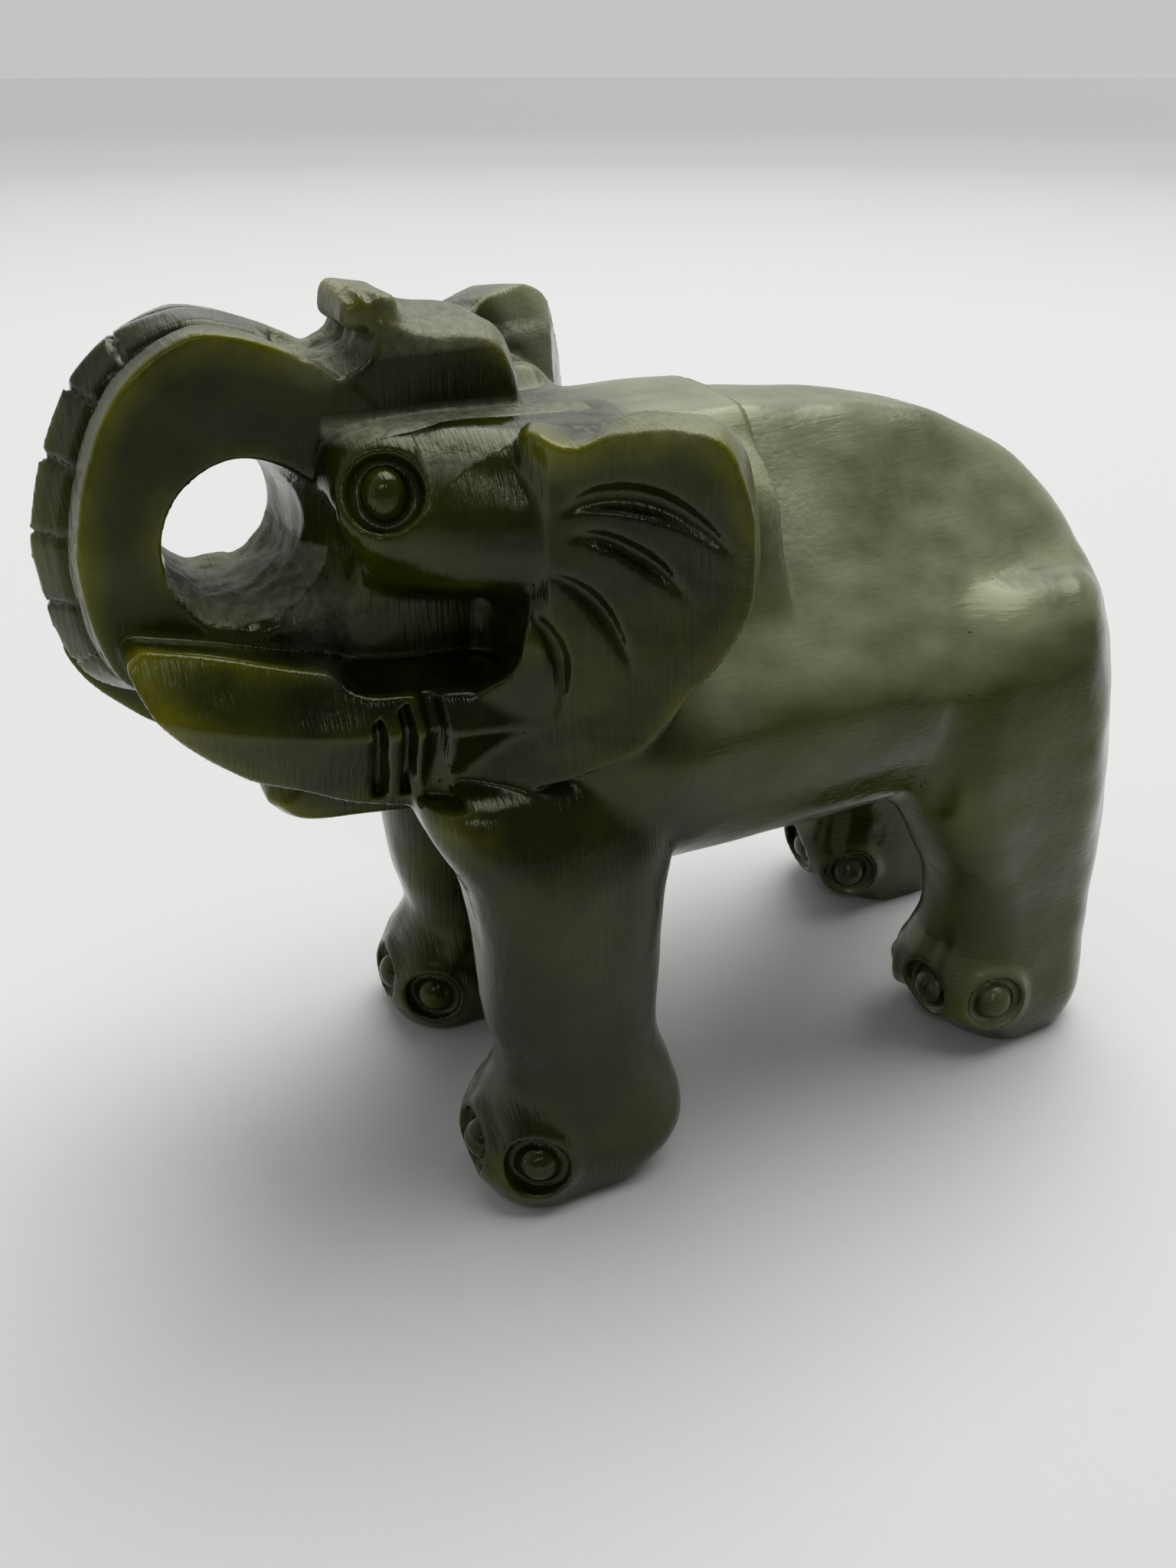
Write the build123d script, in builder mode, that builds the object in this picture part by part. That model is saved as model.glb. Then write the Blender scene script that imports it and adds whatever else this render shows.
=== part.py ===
from build123d import *
import os

os.makedirs("parts", exist_ok=True)

# A standing elephant with its trunk curled back over its forehead, hand carved from one piece of
# green jade.  The stone is divided into the masses that a carver roughs out, and they meet face to
# face.  Millimetres: the elephant looks along +X, +Y is its left, Z is up, and the ground is Z = 0.

# Driving dimensions
body_back = -45.0  # x of the rump
body_length = 56.5  # rump to the front of the shoulders
body_half_width = 19.4
belly_height = 24.5
back_height = 62.5
slab_half = 5.5  # half the sawn thickness of the trunk and the crown
head_back = 3.5
head_front = 29.5
brow_height = 64.5
crown_top = 71.6
tip_top = 72.4
trunk_front = 45.9  # foremost point of the curl
trunk_top = 71.1
curl_x = 34.5  # middle of the curl, that the wrinkle cuts point to
curl_z = 59.2
hole_x = 33.5  # the drilled eye of the curl
hole_z = 57.8
hole_radius = 4.7
jaw_tip_x = 33.8
ear_lean = 30.0  # degrees that the ears turn towards the front
ear_rim = 3.0  # thickness of the free rim
ear_depth = 10.0  # face of the ear to the neck behind it
leg_offset = 12.6  # centre line of the body to the middle of a leg
eye_drill = 4.9  # outside diameter of the hollow drill for the eyes
nail_drill = 5.4  # outside diameter of the hollow drill for the toenails
eye_drill_wall = 0.75
nail_drill_wall = 0.6


def finish(part, name):
    """Name a carved mass and write it."""
    part.label = name
    export_step(part, f"parts/{name}.step")


# Torso: a barrel lofted through upright ellipses.  Each station gives its place from the rump, 0, to
# the shoulders, 1, then its width and height as parts of the largest, and the rise of its middle.
torso_stations = [
    (0.00, 0.24, 0.30, -3.4),
    (0.03, 0.44, 0.48, -3.0),
    (0.10, 0.72, 0.70, -2.2),
    (0.20, 0.88, 0.86, -1.2),
    (0.36, 0.98, 0.97, -0.4),
    (0.58, 1.00, 1.00, 0.0),
    (0.80, 0.97, 0.97, 0.4),
    (1.00, 0.86, 0.88, 1.0),
]
barrel_half_height = (back_height - belly_height) / 2
barrel_axis = (back_height + belly_height) / 2
with BuildPart() as torso:
    for place, width, height, rise in torso_stations:
        with BuildSketch(Plane.YZ.offset(body_back + place * body_length)):
            with Locations((0, barrel_axis + rise)):
                Ellipse(width * body_half_width, height * barrel_half_height)
    loft()
finish(torso.part, "torso")

# Head: the brow and cheeks, cut to the front outline and then to the side outline, with a socket
# drilled for each eye.
cheek_line = [(6, 64.5), (10.8, 59.5), (12.2, 56.5), (11.8, 53), (9.5, 50.5), (9.5, 47), (8, 43.5), (5.5, 41.5)]
eye_centre = Vector(24.5, 9.3, 60.3)
eye_axis = Vector(0.30, 0.84, 0.45)
socket_cut = 4.0  # how far the drill cuts outwards from the floor of the socket
left_socket = Plane(origin=eye_centre, z_dir=eye_axis)
right_socket = Plane(
    origin=(eye_centre.X, -eye_centre.Y, eye_centre.Z),
    z_dir=(eye_axis.X, -eye_axis.Y, eye_axis.Z),
)
with BuildPart() as head:
    with BuildSketch(Plane.YZ.offset(head_back)):
        Polygon(*cheek_line, *[(-y, z) for y, z in reversed(cheek_line)], align=None)
    extrude(amount=head_front - head_back)
    with BuildSketch(Plane.XZ):
        Polygon(
            (head_back, 41.5),
            (head_back, 62.5),
            (9.5, brow_height),
            (26, brow_height),
            (28.5, 60.5),
            (head_front, 53),
            (29, 47),
            (24.5, 41.5),
            align=None,
        )
    extrude(amount=body_half_width, both=True, mode=Mode.INTERSECT)
    with BuildSketch(left_socket, right_socket):
        Circle(eye_drill / 2)
    extrude(amount=socket_cut, mode=Mode.SUBTRACT)
    add(torso.part, mode=Mode.SUBTRACT)
finish(head.part, "head")

# Eyes: the core that the hollow drill leaves, ground to a dome.
eye_radius = eye_drill / 2 - eye_drill_wall
eye_height = 1.7
eye_round = 1.19  # radius of the ground shoulder
with BuildPart() as left_eye:
    with BuildSketch(left_socket):
        Circle(eye_radius)
    extrude(amount=eye_height)
    fillet(left_eye.edges().sort_by(Axis(left_socket.origin, left_socket.z_dir))[-1], eye_round)
finish(left_eye.part, "left_eye")
with BuildPart() as right_eye:
    mirror(left_eye.part, about=Plane.XZ)
finish(right_eye.part, "right_eye")

# Crown: a sawn slab that stands up on the brow, its back corners eased.
crown_ease = 0.8
with BuildPart() as crown:
    with BuildSketch(Plane.XZ):
        with BuildLine():
            Polyline((24.8, 69.0), (26.8, 67.4), (26.8, 62), (12, 62), (12.4, 66), (14.6, 69.6))
            Spline((14.6, 69.6), (17.8, 71.1), (21.4, crown_top), tangents=((1, 1), (1, 0.1)))
            Polyline((21.4, crown_top), (24.8, 71.2), (24.8, 69.0))
        make_face()
    extrude(amount=slab_half, both=True)
    chamfer(crown.faces().sort_by(Axis.X)[0].edges().filter_by(Axis.Z, tolerance=10), crown_ease)
    add(head.part, mode=Mode.SUBTRACT)
finish(crown.part, "crown")

# Trunk: the same slab, sawn to a curl with a drilled eye and bevelled round its front.  Cross cuts
# in the flat between the bevels mark the wrinkles.
bevel = 2.0
wrinkle_width = 0.7
wrinkle_radius = 10.9
wrinkle_angles = [-30, -11, 8, 27, 47, 68]
with BuildPart() as trunk:
    with BuildSketch(Plane.XZ):
        with BuildLine():
            Polyline((41.5, 44.5), (29.5, 43.5), (24.5, 50), (24.5, brow_height), (26, 67), (28.3, 69.4))
            over = ThreePointArc((28.3, 69.4), (34.8, trunk_top), (trunk_front, 58.2))
            TangentArc((trunk_front, 58.2), (44.6, 48.8), tangent=over % 1)
            Polyline((44.6, 48.8), (41.5, 44.5))
        make_face()
    extrude(amount=slab_half, both=True)
    chamfer(trunk.edges().filter_by(GeomType.CIRCLE), bevel)
    with BuildSketch(Plane.XZ):
        with Locations((hole_x, hole_z)):
            Circle(hole_radius)
    extrude(amount=slab_half, both=True, mode=Mode.SUBTRACT)
    for angle in wrinkle_angles:
        outward = Vector(1, 0, 0).rotate(Axis.Y, -angle)
        curl_middle = Plane(origin=(curl_x, 0, curl_z), x_dir=(0, 1, 0), z_dir=outward)
        with BuildSketch(curl_middle.offset(wrinkle_radius)):
            Rectangle(2 * (slab_half - bevel), wrinkle_width)
        extrude(amount=wrinkle_radius, mode=Mode.SUBTRACT)
    add(head.part, mode=Mode.SUBTRACT)
    add(crown.part, mode=Mode.SUBTRACT)
finish(trunk.part, "trunk")

# Trunk tip: the notched end of the trunk, turned down on the crown.
notch_width = 0.8
with BuildPart() as trunk_tip:
    with BuildSketch(Plane.XZ):
        Polygon(
            (20.4, 71.0),
            (21.6, tip_top),
            (24.4, tip_top),
            (26.2, 71.2),
            (26.2, 69.0),
            (20.4, 69.0),
            align=None,
        )
    extrude(amount=slab_half - notch_width, both=True)
    with Locations((22.3, 0, tip_top), (24.2, 0, tip_top)):
        Box(notch_width, 2 * slab_half, 2 * notch_width, mode=Mode.SUBTRACT)
    add(crown.part, mode=Mode.SUBTRACT)
finish(trunk_tip.part, "trunk_tip")

# Lower jaw: a plain wedge between the tusks.
with BuildPart() as lower_jaw:
    with BuildSketch(Plane.XZ):
        with BuildLine():
            Polyline((jaw_tip_x, 37.6), (24.5, 41.5), (9.5, 45), (9.5, 33), (22.5, 33.1), (28.9, 34.1))
            Spline((28.9, 34.1), (32.4, 35.0), (jaw_tip_x, 37.6), tangents=((1, 0.15), (0.2, 1)))
        make_face()
    extrude(amount=slab_half, both=True)
    add(torso.part, mode=Mode.SUBTRACT)
    add(head.part, mode=Mode.SUBTRACT)
finish(lower_jaw.part, "lower_jaw")

# Ears: flat shields that lean out from the neck, with a free rim and a back that tapers inwards.
# The outline is drawn on the shield's own face, its first number forwards from the rear edge and its
# second the height.  Lens-shaped wheel cuts mark the veins.
ear_lower = [(14.5, 64.2), (19, 47), (21, 38.3), (16, 39.3), (10, 41.5), (4.6, 45.2), (0.8, 51), (0, 56.5)]
ear_upper = [(0.9, 62.4), (2.4, 64.6), (5.4, 65.6), (9, 65.4)]
right_ear_rise = 1.8  # the right ear was left a little taller
ear_middle = (9, 53)
ear_taper = 0.72
ear_plane = Plane(
    origin=(4.0, 22.8, 0),
    x_dir=Vector(1, 0, 0).rotate(Axis.Z, -ear_lean),
    z_dir=Vector(0, -1, 0).rotate(Axis.Z, -ear_lean),
)
vein_hub = (16, 56)
vein_cuts = [(8, 5.0, 10), (-14, 6.0, 10), (-38, 5.0, 9.5), (-62, 5.5, 9.5)]  # angle, start, length
vein_width = 1.4
vein_depth = 0.8
ears = {}
for name, rise in (("left_ear", 0), ("right_ear", right_ear_rise)):
    outline = ear_lower + [(u, z + rise) for u, z in ear_upper]
    with BuildPart() as ear:
        for depth, share in ((0, 1), (ear_rim, 1), (ear_depth, ear_taper)):
            with BuildSketch(ear_plane.offset(depth)):
                Polygon(
                    *[
                        (ear_middle[0] + share * (u - ear_middle[0]), ear_middle[1] + share * (z - ear_middle[1]))
                        for u, z in outline
                    ],
                    align=None,
                )
        loft(ruled=True)
        with BuildSketch(ear_plane):
            for angle, start, length in vein_cuts:
                with Locations(Location(vein_hub, 180 - angle)):
                    with Locations((start + length / 2, 0)):
                        Ellipse(length / 2, vein_width / 2)
        extrude(amount=vein_depth, mode=Mode.SUBTRACT)
        for neighbour in (torso, head, crown, lower_jaw):
            add(neighbour.part, mode=Mode.SUBTRACT)
    ears[name] = ear
with BuildPart() as right_ear:
    mirror(ears["right_ear"].part, about=Plane.XZ)
finish(ears["left_ear"].part, "left_ear")
finish(right_ear.part, "right_ear")

# Tusks: broad wings with a ridge along the outer side.  Each station runs from the cheek forwards:
# x, half width to the ridge, then the heights of the top edge, the ridge and the lower edge.
tusk_stations = [
    (11.5, 15.0, 46.0, 43.0, 37.0),
    (23.5, 14.0, 47.4, 45.0, 37.4),
    (29.5, 13.0, 48.8, 45.8, 39.4),
    (35.0, 12.4, 50.6, 46.7, 41.8),
    (39.0, 12.0, 52.3, 47.6, 45.3),
    (42.1, 10.2, 51.6, 50.0, 48.2),
]
tusk_top_in = 1.4  # the top edge stands this far inside the ridge
tusk_bottom_in = 2.4
tusk_dish = 2.0  # the top falls this far towards the trunk
right_tusk_reach = 2.8  # the right tusk is the longer one
tusk_back, tusk_tip = tusk_stations[0][0], tusk_stations[-1][0]
for side, reach, name in ((1, 0, "left_tusk"), (-1, right_tusk_reach, "right_tusk")):
    with BuildPart() as tusk:
        for x, width, top, ridge, bottom in tusk_stations:
            stretch = reach * (x - tusk_back) / (tusk_tip - tusk_back)
            with BuildSketch(Plane.YZ.offset(x + stretch)):
                Polygon(
                    (side * slab_half, top - tusk_dish),
                    (side * (width - tusk_top_in), top),
                    (side * width, ridge),
                    (side * (width - tusk_bottom_in), bottom),
                    (side * slab_half, bottom),
                    align=None,
                )
        loft(ruled=True)
        for neighbour in (ears["left_ear"], right_ear, head, torso, lower_jaw):
            add(neighbour.part, mode=Mode.SUBTRACT)
    finish(tusk.part, name)
    if side == 1:
        left_tusk = tusk

# Legs: columns that swell into round feet, lofted through rounded rectangles.  Each station gives
# the height, the middle along the body, the length and width, and the corner radius.
front_leg_stations = [
    (0, 14.1, 15.0, 12.6, 5.0),
    (4.5, 12.9, 19.2, 13.6, 6.2),
    (8.5, 12.5, 16.8, 13.0, 6.0),
    (13, 12.7, 14.4, 12.4, 5.6),
    (27, 13.3, 15.2, 13.2, 6.0),
    (37, 11.8, 15.6, 12.0, 5.6),
]
hind_leg_stations = [
    (0, -35.2, 14.2, 12.6, 5.0),
    (5, -33.9, 20.2, 13.6, 6.2),
    (11, -34.6, 18.0, 12.8, 6.0),
    (20, -34.0, 20.4, 12.8, 6.0),
    (29, -32.4, 24.0, 13.6, 6.4),
    (36, -31.6, 22.0, 11.6, 5.4),
]
# Toenails: place on the foot and the way they face, for the outer, front and inner nail.
front_nails = [
    ((18.1, 18.0, 5.4), (0.55, 0.83, 0.05)),
    ((21.8, 12.6, 4.6), (1, 0, 0.05)),
    ((18.9, 7.4, 4.8), (0.6, -0.8, 0)),
]
hind_nails = [
    ((-29.0, 18.8, 6.6), (0.3, 0.95, 0.1)),
    ((-24.6, 13.4, 5.6), (1, 0.1, 0.05)),
    ((-27.2, 7.2, 5.4), (0.55, -0.83, 0)),
]
nail_radius = nail_drill / 2 - nail_drill_wall
nail_sink = 1.5
nail_proud = 0.8
stride = 2.6  # the right hind foot stands this much further back
hip_height = 29
front_trim = (torso, head, lower_jaw, left_tusk)
for end, side, stations, nails, step_back, trim in (
    ("front", "left", front_leg_stations, front_nails, 0, (*front_trim, ears["left_ear"])),
    ("front", "right", front_leg_stations, front_nails, 0, (*front_trim, ears["right_ear"])),
    ("hind", "left", hind_leg_stations, hind_nails, 0, (torso,)),
    ("hind", "right", hind_leg_stations, hind_nails, stride, (torso,)),
):
    pockets = [
        Plane(origin=Vector(place) - Vector(step_back, 0, 0), z_dir=facing).offset(-nail_sink)
        for place, facing in nails
    ]
    with BuildPart() as leg:
        for z, middle, length, width, corner in stations:
            with BuildSketch(Plane.XY.offset(z)):
                with Locations((middle - step_back * max(0, 1 - z / hip_height), leg_offset)):
                    RectangleRounded(length, width, corner)
        loft()
        with BuildSketch(*pockets):
            Circle(nail_radius)
        extrude(amount=3 * nail_sink, mode=Mode.SUBTRACT)
        for neighbour in trim:
            add(neighbour.part, mode=Mode.SUBTRACT)
    with BuildPart() as toenails:
        for pocket in pockets:
            with BuildSketch(pocket):
                Circle(nail_radius)
            extrude(amount=nail_sink)
            with BuildSketch(pocket.offset(nail_sink)):
                Circle(nail_radius)
            extrude(amount=nail_proud, taper=45)
    for made, kind in ((leg, "leg"), (toenails, "toenails")):
        if side == "left":
            finish(made.part, f"{end}_left_{kind}")
        else:
            with BuildPart() as mirrored:
                mirror(made.part, about=Plane.XZ)
            finish(mirrored.part, f"{end}_right_{kind}")

# Tail: a narrow strip carved in relief down the middle of the rump.
tail_half = 1.5
tail_back = -45.9
with BuildPart() as tail:
    with BuildSketch(Plane.XZ):
        with BuildLine():
            Spline((-41.8, 51.2), (-45.3, 45.5), (tail_back, 38), (-44.0, 28.5), tangents=((-1, -1), (0.4, -1)))
            Polyline((-44.0, 28.5), (-38, 30), (-38, 50), (-41.8, 51.2))
        make_face()
    extrude(amount=tail_half, both=True)
    add(torso.part, mode=Mode.SUBTRACT)
finish(tail.part, "tail")
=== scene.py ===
import bpy
import math
import numpy as np
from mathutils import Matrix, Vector


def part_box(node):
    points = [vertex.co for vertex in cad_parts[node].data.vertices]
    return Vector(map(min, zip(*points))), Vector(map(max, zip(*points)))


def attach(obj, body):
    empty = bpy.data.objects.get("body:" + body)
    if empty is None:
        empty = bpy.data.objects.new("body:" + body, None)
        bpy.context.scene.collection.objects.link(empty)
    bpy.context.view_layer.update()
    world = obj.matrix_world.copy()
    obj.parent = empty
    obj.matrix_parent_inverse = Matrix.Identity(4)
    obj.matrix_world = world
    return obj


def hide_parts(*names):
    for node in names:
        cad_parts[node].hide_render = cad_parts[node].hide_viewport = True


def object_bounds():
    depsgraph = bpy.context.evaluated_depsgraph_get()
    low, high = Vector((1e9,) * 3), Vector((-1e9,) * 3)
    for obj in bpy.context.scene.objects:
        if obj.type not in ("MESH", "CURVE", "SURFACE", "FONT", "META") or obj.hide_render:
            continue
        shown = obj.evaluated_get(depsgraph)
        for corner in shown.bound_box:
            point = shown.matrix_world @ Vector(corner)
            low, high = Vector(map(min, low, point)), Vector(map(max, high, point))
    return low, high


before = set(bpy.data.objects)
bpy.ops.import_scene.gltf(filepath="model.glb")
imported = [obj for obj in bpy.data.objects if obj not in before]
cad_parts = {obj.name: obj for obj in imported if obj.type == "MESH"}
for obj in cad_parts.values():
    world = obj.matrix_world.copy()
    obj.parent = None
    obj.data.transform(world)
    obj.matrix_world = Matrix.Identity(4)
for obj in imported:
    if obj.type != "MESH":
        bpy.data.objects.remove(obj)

cad_low, cad_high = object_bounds()

# ---------------------------------------------------------------- torso
# The barrel of the body is the heart of one nephrite block, ground round on a wheel and left with
# soft flats where the wheel lay.  The whole elephant is one stone, so every mass below is worked in
# one field of depths, in millimetres: negative inside the stone, positive in the air.
step = 0.335
air_margin = 2.0
far = 9.0
block_low = np.array(cad_low) * 1000 - air_margin
block_high = np.array(cad_high) * 1000 + air_margin
count = np.ceil((block_high - block_low) / step).astype(int) + 1
lines = [(block_low[i] + step * np.arange(count[i])).astype(np.float32) for i in range(3)]
stone = np.full(count, far, np.float32)
nearest = np.full(count, far, np.float32)
owner = np.zeros(count, np.uint8)
names = ["air"]


def node_box(node):
    """Lowest and highest corner of a CAD node, in millimetres."""
    low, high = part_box(node)
    return np.array(low) * 1000, np.array(high) * 1000


def window(low, high):
    """The part of the block between two corners, and the places of its samples."""
    starts = [max(0, int((low[i] - block_low[i]) / step)) for i in range(3)]
    stops = [min(count[i], int((high[i] - block_low[i]) / step) + 2) for i in range(3)]
    cut = tuple(slice(start, stop) for start, stop in zip(starts, stops))
    x, y, z = (lines[i][cut[i]] for i in range(3))
    return cut, x[:, None, None], y[None, :, None], z[None, None, :]


def join(a, b, fillet):
    """Union of two depths with a rounded inner corner."""
    lap = np.maximum(fillet - np.abs(a - b), 0)
    return np.minimum(a, b) - lap * lap * (0.25 / max(fillet, 1e-6))


def trim(a, b, edge):
    """What two depths have in common, with a worn edge."""
    return -join(-a, -b, edge)


claim_depth = 0.05  # how far a small mass's name reaches into the stone round it


def add_mass(name, shape, low, high, fillet, claim=False):
    """Leave a mass standing in the block and give the stone nearest to it its name."""
    if name not in names:
        names.append(name)
    cut, x, y, z = window(low, high)
    depth = shape(x, y, z).astype(np.float32)
    stone[cut] = join(stone[cut], depth, fillet)
    mine = depth < (claim_depth if claim else nearest[cut])
    owner[cut] = np.where(mine, names.index(name), owner[cut])
    nearest[cut] = np.where(mine, depth - (far if claim else 0), nearest[cut])


torso_low, torso_high = node_box("torso")
ground_away = 0.3  # taken off the roughed-out barrel by the wheel
rump_ground_away = 0.4
body_half_width = torso_high[1] - ground_away
body_half_height = (torso_high[2] - torso_low[2]) / 2 - ground_away
body_mid = (torso_high[2] + torso_low[2]) / 2
rump_x = torso_low[0] + rump_ground_away
rump_length = 17.5
shoulder_x = 5.0
shoulder_length = 13.0
body_squareness = 2.15
end_squareness = 2.3
rump_flats = [  # way each flat on the rump faces, and its distance from the middle of the base
    (-0.23, -0.09, 0.97, 65.2),
    (-0.437, 0.106, 0.893, 66.4),
    (-0.614, 0.33, 0.717, 62.9),
    (-0.696, 0.502, 0.513, 56.6),
    (-0.709, 0.65, 0.273, 48.1),
    (-0.682, 0.719, 0.133, 43.1),
    (-0.653, 0.755, 0.055, 40.9),
]
rump_roundness = 4.0
flank_flats = [  # the same for the flats along the side
    (0.10, 0.95, 0.28, 31.2),
    (-0.18, 0.93, 0.32, 33.6),
    (0.05, 0.80, 0.60, 41.3),
    (-0.14, 0.76, 0.63, 43.6),
]
flank_roundness = 1.6


def ground_flat(depth, x, y, z, flats, roundness):
    """Grind the same flats on the left and on the right."""
    for nx, ny, nz, reach in flats:
        for side in (1, -1):
            depth = trim(depth, nx * x + ny * side * y + nz * z - reach, roundness)
    return depth


def torso_shape(x, y, z):
    across = np.abs(y) / body_half_width
    upright = np.abs(z - body_mid) / body_half_height
    girth = (across**body_squareness + upright**body_squareness) ** (1 / body_squareness)
    behind = np.maximum(rump_x + rump_length - x, 0) / rump_length
    ahead = np.maximum(x - shoulder_x, 0) / shoulder_length
    reach = behind + ahead
    depth = ((girth**end_squareness + reach**end_squareness) ** (1 / end_squareness) - 1) * body_half_width
    depth = ground_flat(depth, x, y, z, rump_flats, rump_roundness)
    return ground_flat(depth, x, y, z, flank_flats, flank_roundness)


add_mass("torso", torso_shape, torso_low - 3, torso_high + (6, 3, 3), 0)

# ---------------------------------------------------------------- legs
# Four columns left standing under the body.  Each swells into a round foot, and the hind ones
# carry the haunch, with a crease ground round its front where it leaves the belly.
front_leg = dict(  # each side of the column as (height, place) knots
    back=[(0, 6.8), (4, 3.6), (9, 4.1), (13, 5.3), (20, 5.6), (28, 5.6), (40, 3.5)],
    front=[
        (0, 21.3),
        (4, 22.5),
        (8, 21.2),
        (12, 19.3),
        (17, 20.2),
        (24, 20.8),
        (31, 21.6),
        (36, 24),
        (40, 25),
    ],
    inner=[(0, 6.6), (4, 5.9), (9, 6.4), (15, 6.8), (30, 6.2), (40, 4)],
    outer=[(0, 18.6), (4, 19.4), (9, 18.7), (15, 18.3), (26, 18.9), (34, 18.4), (42, 15)],
)
hind_leg = dict(
    back=[(0, -42.0), (4, -43.4), (9, -43.2), (16, -43.6), (26, -44.4), (36, -44.2), (48, -38)],
    front=[
        (0, -29.0),
        (4, -25.6),
        (8, -24.4),
        (12, -25.6),
        (17, -25.2),
        (23, -22.2),
        (30, -18.6),
        (40, -18.0),
        (50, -22),
    ],
    inner=[(0, 6.6), (4, 5.9), (9, 6.4), (15, 6.8), (30, 6.2), (40, 3)],
    outer=[(0, 18.4), (4, 19.3), (9, 18.6), (15, 18.2), (24, 19.0), (34, 19.9), (42, 19.4), (50, 15.5)],
)
leg_corner = 5.4
leg_top_roundness = 3.0
haunch_roundness = 2.5
sole_edge = 0.9
stride = 3.2  # the right hind foot stands this much further back
hip_height = 29.0


def course(x, knots):
    """Smooth curve through (place, value) knots."""
    place, value = np.array(knots, float).T
    slope = np.gradient(value, place)
    i = np.clip(np.searchsorted(place, x) - 1, 0, len(place) - 2)
    gap = place[i + 1] - place[i]
    t = np.clip((x - place[i]) / gap, 0, 1)
    rise = value[i + 1] - value[i]
    bend = t * (1 - t) * ((1 - t) * (gap * slope[i] - rise) - t * (gap * slope[i + 1] - rise))
    return value[i] + rise * t + bend


def leg_shape(limb, side, step_back):
    def shape(x, y, z):
        lean = step_back * np.clip(1 - z / hip_height, 0, 1)
        back, front = course(z, limb["back"]) - lean, course(z, limb["front"]) - lean
        inner, outer = course(z, limb["inner"]), course(z, limb["outer"])
        top = max(limb["outer"][-1][0], limb["back"][-1][0]) - 2
        dx = np.abs(x - (back + front) / 2) - (front - back) / 2 + leg_corner
        dy = np.abs(side * y - (inner + outer) / 2) - (outer - inner) / 2 + leg_corner
        outside = np.hypot(np.maximum(dx, 0), np.maximum(dy, 0))
        round_side = outside + np.minimum(np.maximum(dx, dy), 0) - leg_corner
        depth = trim(round_side, z - top, leg_top_roundness)
        if limb is hind_leg:
            depth = ground_flat(depth, x + lean, y, z, rump_flats[2:], haunch_roundness)
        return trim(depth, -z, sole_edge)

    return shape


def capsule(a, b, radius, tip_radius=None):
    """Distance to a rod from a to b that may taper."""
    a, b = np.array(a, float), np.array(b, float)
    run = b - a
    tip = radius if tip_radius is None else tip_radius

    def shape(x, y, z):
        px, py, pz = x - a[0], y - a[1], z - a[2]
        t = np.clip((px * run[0] + py * run[1] + pz * run[2]) / (run @ run), 0, 1)
        gap = np.sqrt((px - t * run[0]) ** 2 + (py - t * run[1]) ** 2 + (pz - t * run[2]) ** 2)
        return gap - radius - (tip - radius) * t

    return shape


def cut_away(shape, low, high, edge):
    """Grind a tool's shape out of the stone."""
    cut, x, y, z = window(low, high)
    depth = shape(x, y, z).astype(np.float32)
    stone[cut] = trim(stone[cut], -depth, edge)


for end, limb, fillet in (("front", front_leg, 1.0), ("hind", hind_leg, 1.6)):
    for side, hand in ((1, "left"), (-1, "right")):
        node = f"{end}_{hand}_leg"
        low, high = node_box(node)
        step_back = stride if node == "hind_right_leg" else 0
        add_mass(node, leg_shape(limb, side, step_back), low - 3, high + (6, 4, 14), fillet)

crease = [
    (-17.0, 19.9, 47.5),
    (-17.9, 20.3, 42.5),
    (-18.6, 20.0, 36.0),
    (-18.9, 17.6, 30.0),
    (-18.6, 15.0, 26.5),
]
crease_radius = 0.95
crease_edge = 1.2
crease_room = ((-24, -24, 22), (-12, 24, 52))
for a, b in zip(crease, crease[1:]):
    for side in (1, -1):
        groove = capsule((a[0], side * a[1], a[2]), (b[0], side * b[1], b[2]), crease_radius)
        cut_away(groove, *crease_room, crease_edge)

# ---------------------------------------------------------------- head
# Neck, cheeks and brow.  The cheek is a roll that runs back from the eye to the ear, and above it
# the brow was left as a narrow unpolished ledge.
head_low, head_high = node_box("head")


def brick(centre, half, corner, turn=0.0):
    """Box with rounded corners, turned about Y by some degrees."""
    c, s = math.cos(math.radians(turn)), math.sin(math.radians(turn))

    def shape(x, y, z):
        px, pz = x - centre[0], z - centre[2]
        dx = np.abs(c * px - s * pz) - half[0] + corner
        dy = np.abs(y - centre[1]) - half[1] + corner
        dz = np.abs(s * px + c * pz) - half[2] + corner
        outside = np.sqrt(np.maximum(dx, 0) ** 2 + np.maximum(dy, 0) ** 2 + np.maximum(dz, 0) ** 2)
        return outside + np.minimum(np.maximum(np.maximum(dx, dy), dz), 0) - corner

    return shape


def two_sided(shape):
    return lambda x, y, z: shape(x, np.abs(y), z)


head_room = (head_low - (8, 4, 4), head_high + 4)
skull = brick((9, 0, 53), (19, 7.0, 9.6), 2.0)
neck = brick((3.6, 0, 50.6), (9.4, 12.5, 9.2), 4.0)
cheek = two_sided(capsule((9, 11.2, 57.3), (21.8, 6.6, 58.4), 6.9, 5.4))
temple = two_sided(capsule((9, 12.0, 60.4), (19.5, 8.4, 61.3), 3.7, 3.0))
brow_ledge = two_sided(capsule((8, 6.8, 62.7), (25.4, 5.6, 62.4), 1.9, 1.5))
for mass, fillet in ((skull, 2.0), (neck, 4.0), (cheek, 1.2), (temple, 1.5), (brow_ledge, 2.0)):
    add_mass("head", mass, *head_room, fillet)

# ---------------------------------------------------------------- crown
# The slab that the trunk was sawn from also stands up on the brow as the crown.  Its sides are
# flat from the saw, and its top is hollowed and a little pitted.


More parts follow.
